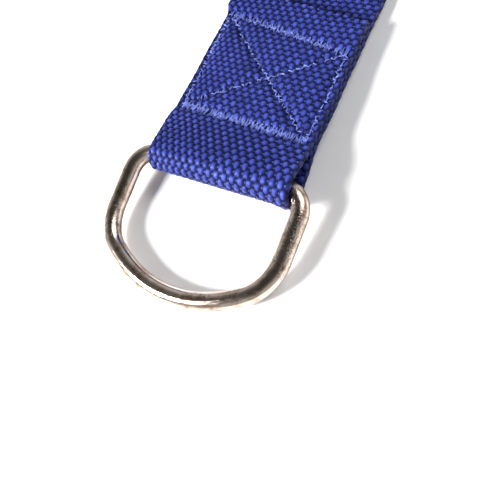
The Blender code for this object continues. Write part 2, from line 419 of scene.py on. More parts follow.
def float_profile(look, x, s, shift):
    """(dome, cell number, speck) of the floats whose lattice is shifted by whole pitches."""
    cell_x, off_x = lattice(look, x, WARP_PITCH, shift)
    cell_s, off_s = lattice(look, s, WEFT_PITCH, shift)
    share_x = look.times(off_x, 2 * WARP_PITCH / FLOAT_HALF_WIDTH)
    share_s = look.times(off_s, 2 * WEFT_PITCH / FLOAT_HALF_LENGTH)
    powers = [look.math("POWER", share, FLOAT_POWER) for share in (share_x, share_s)]
    number = look.speckle(look.join(cell_x, cell_s, CELL_SEED_STEP * shift))
    speck_x = look.math("SUBTRACT", 0.5, off_x)
    speck_x = look.times(speck_x, 2 * WARP_PITCH / SPECK_HALF_WIDTH)
    speck_s = look.times(off_s, 2 * WEFT_PITCH / SPECK_HALF_LENGTH)
    squares = [look.times(share, share) for share in (speck_x, speck_s)]
    return look.math("SQRT", remainder(look, *powers)), number, remainder(look, *squares)


# Colour stops by height on a float, with painted shade: darkest in the gap beside it, darker down its
# sides, lightest at its crown.
GAP_SHADE_BLUE = (0.0004, 0.0014, 0.016)
FLOAT_SHADED_BLUES = (
    (0.00, GAP_SHADE_BLUE),
    (0.40, (0.0008, 0.0030, 0.034)),
    (0.68, (0.009, 0.014, 0.115)),
    (0.90, (0.026, 0.036, 0.235)),
    (1.00, (0.033, 0.045, 0.28)),
)
WEFT_BLUE = (0.10, 0.125, 0.36)
WEBBING_TINTS = ((0.42, (0.42, 0.46, 0.50)), (0.78, (1.0, 1.0, 1.0)), (1.10, (1.6, 1.6, 1.3)))
SHADE_TINT = (0.06, 0.08, 0.15)
CELL_SEED_STEP = 3.0  # keeps the two lattices' random numbers apart


def webbing_look():
    """Multifilament warp floats in royal blue, with painted shade in the gaps and bits of weft between
    them, and painted shade in the seam's grooves and round the selvages.
    """
    look = Look("webbing_blue")
    x, s, shade = look.split(look.stored("weave"))
    even, even_number, even_speck = float_profile(look, x, s, 0)
    odd, odd_number, odd_speck = float_profile(look, x, s, 1)
    dome = look.math("MAXIMUM", even, odd)
    is_odd = look.math("GREATER_THAN", odd, even)
    is_even = look.math("SUBTRACT", 1.0, is_odd)
    number = look.sum_of((odd_number, is_odd), (even_number, is_even))

    filaments = look.noise(look.scaled(x, 7.0, s, 0.8, number), 1.5, 4, 0.6)
    weft = look.noise(look.scaled(x, 1.4, s, 6.0), 1.1, 3, 0.6)
    blotch = look.noise(look.join(x, s), 0.10, 3, 0.55)

    # Painted shade: the floats darken down their sides and into the gaps between them.
    body = look.ramp(dome, FLOAT_SHADED_BLUES)
    speck = look.math("MAXIMUM", even_speck, odd_speck)
    speck = look.times(speck, look.curve(weft, 0.40, 0.62, 0.2, 1.0))
    gap = look.mix(speck, GAP_SHADE_BLUE, WEFT_BLUE)
    colour = look.mix(look.curve(dome, 0.02, 0.16, 0.0, 1.0), gap, body)
    tone = look.sum_of((filaments, 0.85), (number, 0.30), (blotch, 0.40))
    colour = look.mix(1.0, colour, look.ramp(tone, WEBBING_TINTS), "MULTIPLY")
    # Painted shade from the weave attribute: in the seam's grooves, round the selvages, on the roll's
    # edges and on the cut end.
    colour = look.mix(shade, colour, look.mix(1.0, colour, SHADE_TINT, "MULTIPLY"))
    look.set("Base Color", colour)
    gloss = look.curve(filaments, 0.25, 0.75, 0.42, 0.26)
    look.set("Roughness", look.math("ADD", gloss, look.curve(dome, 0.15, 0.6, 0.45, 0.0)))
    look.set("Specular IOR Level", 0.6)
    look.set("Specular Tint", (0.24, 0.31, 0.92))
    look.set("Sheen Weight", 0.02)
    look.set("Sheen Roughness", 0.35)
    look.set("Sheen Tint", (0.35, 0.42, 1.0))
    fine = look.bump(filaments, 0.12 * MM, 1.0)
    look.set("Normal", look.bump(weft, 0.05 * MM, 0.35, fine))
    return look.material


# Colour by the twist, with painted shade: dark in the grooves between the plies, lightest on their
# crowns.
THREAD_PLY_SHADE_BLUES = ((0.0, (0.012, 0.020, 0.14)), (0.35, (0.06, 0.085, 0.42)), (1.0, (0.17, 0.235, 0.74)))
THREAD_TINTS = ((0.35, (0.55, 0.55, 0.62)), (0.75, (1.1, 1.1, 1.05)), (1.0, (1.9, 1.8, 1.2)))
TWISTS_PER_MM = 7.5  # radians of twist for each millimetre of thread


def thread_look():
    """Bright blue polyester sewing thread: twisted plies with painted shade in the grooves between them,
    that sparkle where they catch the light.
    """
    look = Look("thread_blue")
    along, around, number = look.split(look.stored("thread"))
    twist = look.math("ADD", look.times(along, TWISTS_PER_MM), around)
    ply = look.math("ABSOLUTE", look.math("SINE", twist))
    fuzz = look.noise(look.scaled(along, 2.0, around, 2.5, number), 2.2, 3)
    tone = look.math("ADD", fuzz, look.times(number, 0.35))
    tint = look.ramp(tone, THREAD_TINTS)
    look.set("Base Color", look.mix(1.0, look.ramp(ply, THREAD_PLY_SHADE_BLUES), tint, "MULTIPLY"))
    look.set("Roughness", look.curve(fuzz, 0.3, 0.7, 0.22, 0.42))
    look.set("Specular IOR Level", 0.75)
    look.set("Sheen Weight", 0.3)
    look.set("Sheen Tint", (0.6, 0.68, 1.0))
    look.set("Normal", look.bump(look.math("ADD", ply, look.times(fuzz, 0.5)), 0.07 * MM))
    return look.material


# From brown stain to clean warm nickel, and from the bottom of a pit to its bright rim.
PLATE_TONES = ((0.36, (0.24, 0.155, 0.105)), (0.50, (0.54, 0.44, 0.37)), (0.75, (0.67, 0.58, 0.51)))
PIT_TONES = ((0.38, (0.16, 0.12, 0.10)), (0.46, (1.0, 1.0, 1.0)), (0.62, (1.25, 1.22, 1.18)))


def nickel_look():
    """Warm nickel plate over steel wire: pitted, scratched along the wire, with brown staining."""
    look = Look("ring_nickel")
    along, around, _unused = look.split(look.stored("wire"))
    place = look.object_place()
    pits = look.noise(place, 1900, 3, 0.7)
    pitted = look.curve(look.noise(place, 75, 3), 0.44, 0.60, 0.0, 1.0)
    ripple = look.noise(look.scaled(along, 0.30, around, 1.6), 1.5, 3, 0.55)
    scratch = look.noise(look.scaled(along, 0.25, around, 16.0), 2.0, 3, 0.6)
    stain = look.noise(place, 160, 5, 0.62)
    plate = look.ramp(stain, PLATE_TONES)
    pitted_plate = look.mix(1.0, plate, look.ramp(pits, PIT_TONES), "MULTIPLY")
    look.set("Base Color", look.mix(look.times(pitted, 0.65), plate, pitted_plate))
    look.set("Metallic", 1.0)
    scratch_rough = look.curve(scratch, 0.35, 0.8, 0.10, 0.24)
    stain_rough = look.curve(stain, 0.30, 0.45, 0.14, 0.0)
    look.set("Roughness", look.math("ADD", scratch_rough, stain_rough))
    smooth = look.bump(ripple, 0.10 * MM, 0.35)
    worn = look.bump(look.times(pits, pitted), 0.10 * MM, 0.8, smooth)
    look.set("Normal", look.bump(scratch, 0.012 * MM, 0.5, worn))
    return look.material


# ---- webbing surface


def seam_far(x):
    """Place of the seam's far line at x."""
    (x0, far0), (x1, far1) = SEAM_FAR_LEFT, SEAM_FAR_RIGHT
    return far0 + (x - x0) * (far1 - far0) / (x1 - x0)


def flap_end(x):
    return FLAP_END + FLAP_END_SLOPE * x + FLAP_END_UNEVEN * sway(x, (3.1 * MM, 7.3 * MM, 1.3 * MM), 5)


def seam_lines():
    """Every line of the box and cross as (name, start, end), in (x, place)."""
    near_left, near_right = SEAM_NEAR_LEFT, SEAM_NEAR_RIGHT
    far_left, far_right = SEAM_FAR_LEFT, SEAM_FAR_RIGHT
    return [
        ("near", near_left, near_right),
        ("far", far_left, far_right),
        ("left", near_left, far_left),
        ("right", near_right, far_right),
        ("cross", near_left, far_right),
        ("cross", near_right, far_left),
    ]


def seam_distance(x, place):
    """Distance from (x, place) to the nearest seam line."""
    best = np.full(np.broadcast(x, place).shape, 1.0)
    for _name, start, end in seam_lines():
        run = np.subtract(end, start)
        share = ((x - start[0]) * run[0] + (place - start[1]) * run[1]) / (run @ run)
        share = np.clip(share, 0, 1)
        gap = np.hypot(x - start[0] - share * run[0], place - start[1] - share * run[1])
        best = np.minimum(best, gap)
    return best


def in_box(place):
    """1 where the two layers are sewn together, 0 well away from it."""
    start = smooth_step((place - SEWN_FROM) / SEWN_FROM_REACH)
    return start * (1 - smooth_step((place - SEWN_TO) / SEWN_TO_REACH))


def weave_height(x, s):
    """Height of the woven surface above the floor of its gaps."""
    best = np.zeros(np.broadcast(x, s).shape)
    for shift in (0, 1):
        off_x = (x / (2 * WARP_PITCH) - shift / 2 + 0.5) % 1 - 0.5
        off_s = (s / (2 * WEFT_PITCH) - shift / 2 + 0.5) % 1 - 0.5
        share_x = np.abs(off_x * 2 * WARP_PITCH / FLOAT_HALF_WIDTH) ** FLOAT_POWER
        share_s = np.abs(off_s * 2 * WEFT_PITCH / FLOAT_HALF_LENGTH) ** FLOAT_POWER
        dome = np.maximum(1 - share_x - share_s, 0) ** FLOAT_FLATNESS
        best = np.maximum(best, FLOAT_HEIGHT * dome)
        # A bit of weft shows halfway between two floats of the same row.
        off_x = (x / (2 * WARP_PITCH) - shift / 2) % 1 - 0.5
        share = (off_x * 2 * WARP_PITCH / SPECK_HALF_WIDTH) ** 2
        share = share + (off_s * 2 * WEFT_PITCH / SPECK_HALF_LENGTH) ** 2
        best = np.maximum(best, SPECK_HEIGHT * np.sqrt(np.maximum(1 - share, 0)))
    return best


def wandered(x, s):
    """Weave coordinates: yarns wander a little, as woven yarns do."""
    wander_x = YARN_WANDER * sway(s + 0.7 * x, (13 * MM, 31 * MM, 5.7 * MM), 11)
    wander_s = ROW_WANDER * sway(x + 0.2 * s, (9 * MM, 23 * MM, 51 * MM), 12)
    return x + wander_x, s + wander_s


def loop_radius(x):
    flare = smooth_step((x - LOOP_FLARE_START) / (HALF_WIDTH - LOOP_FLARE_START))
    return LOOP_RADIUS + (LOOP_RADIUS_EDGE - LOOP_RADIUS) * flare


def lifted(y, z):
    """Turns what was worked out lying flat up about the flex line, smoothly across it."""
    share = smooth_step((FLEX.y + BEND_REACH - y) / (2 * BEND_REACH))
    c, d = np.cos(SEWN_END_LIFT * share), np.sin(SEWN_END_LIFT * share)
    return FLEX.y + (y - FLEX.y) * c + (z - FLEX.z) * d, FLEX.z - (y - FLEX.y) * d + (z - FLEX.z) * c


def lower_z(x, place):
    """The lower layer lies flat; the single strap past the seam only ripples a little."""
    ripple = RUN_RIPPLE * (1 + sway(place + 0.3 * x, (37 * MM, 61 * MM), 3))
    return WEB_THICK / 2 + ripple * smooth_step((place - RUN_RIPPLE_FROM) / RUN_RIPPLE_REACH)


def upper_z(x, place):
    """The flap: down in the seam, puffed between its lines, and lifted at the cut end."""
    puff = FLAP_PUFF * (1 - near(seam_distance(x, place), PUFF_REACH))
    lift = smooth_step((place - seam_far(x)) / (flap_end(x) - seam_far(x)))
    uneven = 1 + 0.25 * sway(x, (41 * MM, 23 * MM), 8)
    return FLAP_MIDDLE_Z + puff * in_box(place) + FLAP_LIFT * lift * uneven


class RingEndPath:
    """The strap from the roll along the lower layer, round the bar and back over itself.

    Each array has a row for each x and a column for each station.
    """

    def __init__(self):
        row = WEFT_PITCH / ROWS_PER_FLOAT
        self.far = RUN_HIGH.y + GAP - PLACE_ZERO_Y
        turn_length = math.pi * (LOOP_RADIUS + WEB_THICK / 2)
        closing_length = math.hypot(LOOP_RUN_OUT, LOOP_RADIUS)
        run_length = self.far - LOOP_RUN_OUT
        flap_length = FLAP_END - LOOP_RUN_OUT
        self.lengths = (run_length, closing_length, turn_length, closing_length, flap_length)
        self.counts = [max(2, round(length / row)) for length in self.lengths]
        self.starts = np.cumsum([0, *self.lengths])

    def shares(self, part):
        return np.linspace(0, 1, self.counts[part] + 1)[(1 if part else 0):]

    def length_at(self, part, share):
        return self.starts[part] + self.lengths[part] * share

    def flat_middle(self, x):
        """(y, z, place, s, whether it is the upper layer) of the webbing's middle, lying flat."""
        radius = loop_radius(x) + WEB_THICK / 2
        ones = np.ones_like(x)
        share = self.shares(0)
        place = (self.far + (LOOP_RUN_OUT - self.far) * share) * ones
        run = (place, lower_z(x, place), place, self.length_at(0, share) * ones, 0 * place)
        share = self.shares(1)
        place = LOOP_RUN_OUT * (1 - share) * ones
        fall = (LAYERS_MEET_Z - radius - WEB_THICK / 2) * smooth_step(share)
        opening = (place, WEB_THICK / 2 + fall, place, self.length_at(1, share) * ones, 0 * place)
        share = self.shares(2)
        angle = -math.pi / 2 - math.pi * share
        nose_z = LAYERS_MEET_Z + radius * np.sin(angle)
        nose = (radius * np.cos(angle), nose_z, 0 * nose_z, self.length_at(2, share) * ones, share * ones)
        share = self.shares(3)
        place = LOOP_RUN_OUT * share * ones
        high_z = upper_z(x, place)
        high_z = high_z + (LAYERS_MEET_Z + radius - high_z) * (1 - smooth_step(share))
        closing = (place, high_z, place, self.length_at(3, share) * ones, 1 + 0 * place)
        share = self.shares(4)
        place = LOOP_RUN_OUT + (flap_end(x) - LOOP_RUN_OUT) * share
        flap = (place, upper_z(x, place), place, self.starts[4] + place - LOOP_RUN_OUT, 1 + 0 * place)
        parts = (run, opening, nose, closing, flap)
        return [np.concatenate([part[i] for part in parts], axis=1) for i in range(5)]

    def middle(self, x):
        y, z, place, s, upper = self.flat_middle(np.atleast_1d(x)[:, None])
        y, z = lifted(y + PLACE_ZERO_Y, z)
        return y, z, place, s, upper


def face_columns(spacing):
    """Columns across the flat of the strap, locked to the warp yarns."""
    flat = HALF_WIDTH - EDGE_ROUND
    count = int(flat / spacing)
    inner = np.arange(-count, count + 1) * spacing
    return np.concatenate([[-flat], inner, [flat]])


def edge_columns():
    """(x, share of the half thickness) down the rounded +X selvage, without its two ends."""
    angle = np.linspace(0, math.pi, EDGE_STEPS + 2)[1:-1]
    return HALF_WIDTH - EDGE_ROUND + EDGE_ROUND * np.sin(angle), np.cos(angle)


def drawn_in(x, place, upper):
    """x after the seam and the ring's corners have drawn the strap's edges in."""
    to_left = np.clip(-x / HALF_WIDTH, 0, 1)
    to_right = np.clip(x / HALF_WIDTH, 0, 1)
    waist = in_box(place) * upper * (WAIST_LEFT * to_left ** 3 - WAIST_RIGHT * to_right ** 3)
    pinch = PINCH * near(place - PINCH_PLACE, PINCH_REACH) * to_left ** 3
    sway_x = EDGE_WANDER * sway(place, (19 * MM, 43 * MM), 21) * np.abs(x / HALF_WIDTH) ** 3
    neck = 1 - smooth_step(place / NECK_REACH)
    neck = neck * (NECK_LEFT * to_left ** 2 - NECK_RIGHT * to_right ** 2)
    return x + waist + pinch + sway_x + neck


def selvage_ripple(s, side):
    """The weft's turns make small lumps along the selvage."""
    lumps = 0.5 + 0.5 * np.cos(2 * math.pi * s / WEFT_PITCH + side)
    return SELVAGE_LUMP * lumps + SELVAGE_WANDER * sway(s, (2.7 * MM, 7.1 * MM), 31)


class StrapSurface:
    """Builds vertex grids over a path: out is the side away from the loop's inside."""

    def __init__(self, path):
        self.path = path
        self.points = []
        self.coordinates = []
        self.count = 0
        self.faces = []

    def add(self, points, coordinates):
        """Adds a grid of points, shape (columns, rows, 3), and returns its vertex numbers."""
        shape = points.shape[:2]
        index = np.arange(shape[0] * shape[1]).reshape(shape) + self.count
        self.points.append(points.reshape(-1, 3))
        self.coordinates.append(coordinates.reshape(-1, 3))
        self.count += index.size
        return index

    def grid(self, x, half_share, textured, rows=slice(None), side=None):
        """Points and weave coordinates at the columns x.

        half_share is 1 on the outer face and -1 on the inner one, and textured is the share
        of the floats' height. side is 1 or -1 on the +X or -X selvage.
        """
        y, z, place, s, upper = self.path.middle(x)
        column = np.atleast_1d(x)[:, None]
        share = np.atleast_1d(half_share)[:, None] * np.ones_like(y)
        along = unit(np.stack([np.gradient(y, axis=1), np.gradient(z, axis=1)], axis=-1))
        outward = np.stack([-along[..., 1], along[..., 0]], axis=-1)
        weave_x, weave_s = wandered(column + 0 * y, s)
        if side is not None:
            # The rows of floats carry on round the selvage, and mirror at its middle.
            flat = HALF_WIDTH - EDGE_ROUND
            turned = math.pi / 2 - np.abs(math.pi / 2 - np.arccos(np.clip(share, -1, 1)))
            weave_x = weave_x - column + side * (flat + EDGE_ROUND * turned)
        height = weave_height(weave_x, weave_s) * textured
        height = height * self.flattening(place, upper)
        groove = self.groove(column, place, upper, share)
        offset = share * CORE_THICK / 2 + np.sign(share) * np.abs(share) ** 2 * height - share * groove
        x_now = self.drawn(column, place, upper)
        if side is not None:
            lumps = SELVAGE_BULGE * height + selvage_ripple(s, side)
            x_now = x_now + side * lumps * (1 - share ** 2)
        points = [x_now, y + outward[..., 0] * offset, z + outward[..., 1] * offset]
        points = np.stack(points, axis=-1)
        dark = self.painted_shade(column, place, share)
        coordinates = np.stack([weave_x / MM, weave_s / MM, dark], axis=-1)
        return points[:, rows], coordinates[:, rows]

    def flattening(self, place, upper):
        return 1 - SEWN_FLATTENING * in_box(place) * upper

    def groove(self, column, place, upper, share):
        """How far the seam pulls the flap's top and the strap's underside in."""
        sewn = smooth_step((flap_end(column) - place) / SEAM_CLEAR_OF_CUT) * (place > MM)
        pull = near(seam_distance(column, place), SEAM_HALF_WIDTH)
        by_layer = np.where(upper > 0.5, 1.0, UNDERSIDE_SEAM_SHARE)
        return SEAM_DEPTH * pull * sewn * by_layer * (share > 0)

    def drawn(self, column, place, upper):
        return drawn_in(column, place, upper)

    def painted_shade(self, column, place, share):
        """Painted shade, more in the seam's grooves and round the selvages."""
        pull = near(seam_distance(column, place), 0.8 * SEAM_HALF_WIDTH)
        return np.clip(SEAM_SHADE * pull * in_box(place) + np.sqrt(1 - share ** 2), 0, 1)

    def object(self, name):
        made = mesh_object(name, np.concatenate(self.points), self.faces)
        store(made, "weave", np.concatenate(self.coordinates))
        return made


def closed_strap(surface, x, coarse_x, split):
    """One outer face, two rounded selvages, and an inner face that is coarse past row split."""
    outer = surface.add(*surface.grid(x, np.ones(len(x)), 1.0))
    edge_x, edge_share = edge_columns()
    right = surface.add(*surface.grid(edge_x, edge_share, 1.0, side=1))
    left = surface.add(*surface.grid(-edge_x, edge_share, 1.0, side=-1))
    corner = surface.add(*surface.grid(np.array([x[0], x[-1]]), -np.ones(2), 1.0))
    surface.faces.append(quads(outer))
    surface.faces.append(quads(np.concatenate([outer[-1:], right, corner[1:]])))
    surface.faces.append(quads(np.concatenate([outer[:1], left, corner[:1]]))[:, ::-1])
    inner_parts = []
    for rows, columns in ((slice(0, split + 1), x), (slice(split + 1, None), coarse_x)):
        inner = surface.add(*surface.grid(columns[1:-1], -np.ones(len(columns) - 2), 1.0, rows))
        inner_parts.append(np.concatenate([corner[:1, rows], inner, corner[1:, rows]]))
        surface.faces.append(quads(inner_parts[-1])[:, ::-1])
    fine, coarse = inner_parts
    surface.faces.append(np.concatenate([fine[:, -1], coarse[::-1, 0]])[None, :])
    return outer, left, right, corner, coarse


CUT_SHADE = 0.1


def end_cap(surface, x, outer, left, right, inner):
    """Closes the strap's cut end between the last rows of its faces, a little bulged and uneven."""
    just_outside = np.full(len(x), 1e-6)
    points, coordinates = surface.grid(x, just_outside, 0.0, slice(-1, None))
    points[:, 0, 1] += CUT_BULGE * (1 + 0.5 * sway(x, (1.1 * MM, 2.9 * MM), 7))
    coordinates[..., 2] = CUT_SHADE
    middle = surface.add(points, coordinates)[:, 0]
    surface.faces.append(quads(np.stack([outer, middle])))
    surface.faces.append(np.concatenate([middle, inner[::-1]])[None, :])
    for side, end in ((left, 0), (right, -1)):
        fan = np.concatenate([[outer[end]], side, [inner[end]]])
        surface.faces.append(np.stack([fan[:-1], fan[1:], np.full(len(fan) - 1, middle[end])], axis=1))


def rim_loop(outer, right, inner, left):
    """One face across the strap's cross-section."""
    return np.concatenate([outer, right, inner[::-1], left[::-1]])[None, :]


def make_flat_strap(look):
    """The ring end and the flat run, one piece that bends at the flex line."""
    path = RingEndPath()
    surface = StrapSurface(path)
    x = face_columns(WARP_PITCH / COLUMNS_PER_YARN)
    place = path.middle(np.zeros(1))[2][0]
    # From here on the inner face lies between the layers or round the bar, out of sight.
    hidden_from = int(np.argmax(place < FLAP_END - 7 * MM))
    coarse_x = face_columns(3 * WARP_PITCH)
    outer, left, right, corner, inner = closed_strap(surface, x, coarse_x, hidden_from)
    end_cap(surface, x, outer[:, -1], left[:, -1], right[:, -1], inner[:, -1])
    surface.faces.append(rim_loop(outer[:, 0], right[:, 0], corner[:, 0], left[:, 0])[:, ::-1])
    strap = surface.object("webbing_strap")
    strap.data.materials.append(look)
    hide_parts("webbing_ring_end", "webbing_run")
    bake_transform(strap)


# ---- the roll

ROLL_PITCH = 2.5 * MM
ROLL_EYE_RADIUS = 7.5 * MM
ROLL_ROWS_PER_FLOAT = 3
ROLL_UNEVEN = 0.10 * MM
ROLL_SLIP = 0.5 * MM
ROLL_EDGE_SHADE = 0.55
NO_SEAM_PLACE = -50 * MM  # a place along the strap that no seam comes near
HIDDEN_RELIEF = 0.5  # share of the floats' height between the turns, where nothing shows


class RollPath:
    """A spiral from the roll's lowest line inwards to the tail's end."""

    def __init__(self):
        self.centre_y = RUN_HIGH.y + GAP
        quarter = ROLL_PITCH / 4
        self.radius = ROLL_HIGH.y - self.centre_y - WEB_THICK / 2 + quarter
        self.turns = (self.radius - ROLL_EYE_RADIUS) / ROLL_PITCH
        self.length = math.pi * self.turns * (self.radius + ROLL_EYE_RADIUS)
        count = round(self.length / (WEFT_PITCH / ROLL_ROWS_PER_FLOAT))
        self.s = np.linspace(0, self.length, count + 1)
        # The radius falls evenly with the angle turned, so its square falls evenly with length.
        self.r = np.sqrt(self.radius ** 2 - self.s * ROLL_PITCH / math.pi)
        self.turned = (self.radius - self.r) * 2 * math.pi / ROLL_PITCH

    def middle(self, x):
        x = np.atleast_1d(x)[:, None]
        uneven = ROLL_UNEVEN * sway(self.turned * 9 * MM, (71 * MM, 37 * MM), 41)
        r = (self.r + uneven * smooth_step(self.turned / 2)) * np.ones_like(x)
        y = self.centre_y + r * np.sin(self.turned)
        z = self.radius + WEB_THICK / 2 - r * np.cos(self.turned)
        s = self.s * np.ones_like(x)
        return y, z, NO_SEAM_PLACE + 0 * s, s, 0 * s


class RollSurface(StrapSurface):
    def flattening(self, place, upper):
        return 1.0

    def groove(self, column, place, upper, share):
        return 0.0

    def drawn(self, column, place, upper):
        """Each turn sits a little to one side of the last."""
        slip = ROLL_SLIP * sway(self.path.turned * 10 * MM, (63 * MM, 149 * MM, 27 * MM), 42)
        return column + slip * smooth_step(self.path.turned / 4) + 0 * place

    def painted_shade(self, column, place, share):
        # Painted shade round the roll's selvages.
        return np.clip(ROLL_EDGE_SHADE * (1 - share ** 2) + 0 * place, 0, 1)


def make_roll(look):
    path = RollPath()
    surface = RollSurface(path)
    x = face_columns(WARP_PITCH / COLUMNS_PER_YARN)
    coarse = face_columns(12 * WARP_PITCH)
    edge_x, edge_share = edge_columns()
    edge_x, edge_share = edge_x[::2], edge_share[::2]
    rim = np.array([x[0], x[-1]])
    right = surface.add(*surface.grid(edge_x, edge_share, 1.0, side=1))
    left = surface.add(*surface.grid(-edge_x, edge_share, 1.0, side=-1))
    outer_rim = surface.add(*surface.grid(rim, np.ones(2), 1.0))
    inner_rim = surface.add(*surface.grid(rim, -np.ones(2), 1.0))
    surface.faces.append(quads(np.concatenate([outer_rim[1:], right, inner_rim[1:]])))
    surface.faces.append(quads(np.concatenate([outer_rim[:1], left, inner_rim[:1]]))[:, ::-1])
    # Only the outermost turn's outer face and the innermost turn's inner face can be seen.
    first_turn = int(np.argmax(path.turned > 2 * math.pi + 0.15))
    last_turn = int(np.argmax(path.turned > path.turned[-1] - 2 * math.pi - 0.2))
    eye_x = face_columns(2 * WARP_PITCH / COLUMNS_PER_YARN)
    add_roll_face(surface, x, 1, slice(0, first_turn + 1), outer_rim, 1.0)
    add_roll_face(surface, coarse, 1, slice(first_turn, None), outer_rim, HIDDEN_RELIEF)
    add_roll_face(surface, coarse, -1, slice(0, last_turn + 1), inner_rim, HIDDEN_RELIEF)
    add_roll_face(surface, eye_x, -1, slice(last_turn, None), inner_rim, 1.0)
    for row in (0, -1):
        loop = rim_loop(outer_rim[:, row], right[:, row], inner_rim[:, row], left[:, row])
        surface.faces.append(loop if row == -1 else loop[:, ::-1])
    roll = surface.object("webbing_roll_strap")
    roll.data.materials.append(look)
    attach(roll, "roll")
    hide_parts("webbing_roll")


def add_roll_face(surface, columns, side, rows, rim, textured):
    """One face of the spiral over some of its rows: side is 1 outside and -1 inside."""
    shares = np.full(len(columns) - 2, float(side))
    inner = surface.add(*surface.grid(columns[1:-1], shares, textured, rows))
    whole = np.concatenate([rim[:1, rows], inner, rim[1:, rows]])
    faces = quads(whole)
    surface.faces.append(faces if side > 0 else faces[:, ::-1])


# ---- the seam's threads

THREAD_RADIUS = 0.15 * MM
STITCH_WOBBLE = 0.16 * MM
NEEDLE_SINK, NEEDLE_HUMP = 0.28 * MM, 0.30 * MM
BOBBIN_SINK, BOBBIN_HUMP = 0.20 * MM, 0.28 * MM
THREAD_SIDES = 6
THREAD_UP = np.array([0.0, 0.0, 1.0])


def wheels(along, up, sides):
    """Unit vectors round each direction, shape (points, sides, 3), and their angles."""
    across = unit(np.cross(along, up))
    above = np.cross(across, along)
    angle = np.linspace(0, 2 * math.pi, sides, endpoint=False)
    level_part = np.cos(angle)[None, :, None] * across[:, None]
    return level_part + np.sin(angle)[None, :, None] * above[:, None], angle


class Threads:
    """Collects short tubes into one mesh."""

    def __init__(self):
        self.points = []
        self.coordinates = []
        self.faces = []
        self.count = 0

    def add(self, line, radii, number, sides=THREAD_SIDES):
        wheel, angle = wheels(unit(np.gradient(line, axis=0)), THREAD_UP, sides)
        rings = line[:, None] + wheel * radii[:, None, None]
        steps = len(line)
        index = np.arange(steps * sides).reshape(steps, sides) + self.count
        closed = np.concatenate([index, index[:, :1]], axis=1)
        self.faces.append(quads(closed)[:, ::-1])
        self.faces.append(index[:1])
        self.faces.append(index[-1:, ::-1])
        spread = np.linalg.norm(np.diff(line, axis=0), axis=1)
        length = np.concatenate([[0], np.cumsum(spread)])
        along = np.repeat(length / MM, sides)
        around = np.tile(angle, steps)
        self.coordinates.append(np.stack([along, around, np.full(len(along), number)], axis=1))
        self.points.append(rings.reshape(-1, 3))
        self.count += steps * sides

    def object(self, name, look):
        made = mesh_object(name, np.concatenate(self.points), self.faces)
        store(made, "thread", np.concatenate(self.coordinates))
        made.data.materials.append(look)
        return made


CROWN_SHARE = 0.8  # of the floats' height: where a thread rests on them


def upper_face_z(x, place):
    """Height of the flap's top face, near the crown of its floats, before the seam pulls it in."""
    settle = 1 - smooth_step(place / LOOP_RUN_OUT)
    middle = upper_z(x, place)
    middle = middle + (LAYERS_MEET_Z + loop_radius(x) + WEB_THICK / 2 - middle) * settle
    return middle + CORE_THICK / 2 + CROWN_SHARE * FLOAT_HEIGHT


# Strokes of the needle thread along each line, in mm: the step from one to the next, how far
# each reaches across the line and along it, and the share that is sunk out of sight.
STROKES = {
    "near": ((0.60, 2.7, 0.45, 0.10), (0.95, 1.6, 0.9, 0.25), (1.9, 0.8, 1.5, 0.25)),
    "far": ((0.75, 2.3, 0.50, 0.18), (1.3, 1.4, 0.9, 0.30), (2.1, 0.6, 1.6, 0.25)),
    "left": ((0.85, 1.5, 0.60, 0.20), (2.2, 0.3, 1.7, 0.20)),
    "right": ((1.00, 1.1, 0.70, 0.20), (2.2, 0.3, 1.7, 0.20)),
    "cross": ((1.25, 0.75, 1.05, 0.18), (2.3, 0.5, 1.1, 0.45)),
}


def stitch(threads, draw, start, end, upper):
    """One stitch from start to end in (x, place), humped over the fabric that it holds down."""
    share = np.linspace(0, 1, 7)
    flat = np.array(start) + (np.array(end) - start) * share[:, None]
    bow = 0.12 * MM * draw.normal() * np.sin(math.pi * share)
    side = unit(np.array([-(end[1] - start[1]), end[0] - start[0]]))
    flat = flat + side * bow[:, None]
    hump = np.sin(math.pi * share) ** 0.5
    rise = draw.uniform(0.0, 0.16) * MM
    x, place = flat.T
    pull = SEAM_DEPTH * near(seam_distance(x, place), SEAM_HALF_WIDTH)
    # Both ends of a stitch sink into the fabric, and its middle stands out of it.
    if upper:
        z = upper_face_z(x, place) - pull - NEEDLE_SINK + (NEEDLE_HUMP + rise) * hump
    else:
        bottom = WEB_THICK / 2 - CORE_THICK / 2 - CROWN_SHARE * FLOAT_HEIGHT
        z = bottom + UNDERSIDE_SEAM_SHARE * pull + BOBBIN_SINK - (BOBBIN_HUMP + 0.5 * rise) * hump
    x_now = drawn_in(x, place, 1.0 if upper else 0.0)
    line = np.stack([x_now, *lifted(PLACE_ZERO_Y + place, z)], axis=1)
    radii = THREAD_RADIUS * draw.uniform(0.8, 1.2) * (0.6 + 0.4 * hump)
    threads.add(line, radii, draw.uniform(0, 1))


def sew_line(threads, draw, name, start, end, upper):
    """Layers of strokes along one line of the seam, reaching to each side of it by turns."""
    start, end = np.array(start), np.array(end)
    length = np.linalg.norm(end - start)
    along = (end - start) / length
    side = np.array([-along[1], along[0]])
    for step, reach, run, sunk in STROKES[name]:
        way = 1
        for k in range(round(length / (step * MM))):
            way = -way
            wobble = draw.normal(size=4) * STITCH_WOBBLE
            hidden = draw.uniform() < sunk
            reached = np.clip((k + 0.5) * step * MM + wobble[0], 0, length)
            middle = start + along * reached + side * wobble[1]
            half = along * (run * MM / 2 + wobble[2]) + side * (way * reach * MM / 2 + wobble[3])
            if not hidden:
                stitch(threads, draw, middle - half, middle + half, upper)


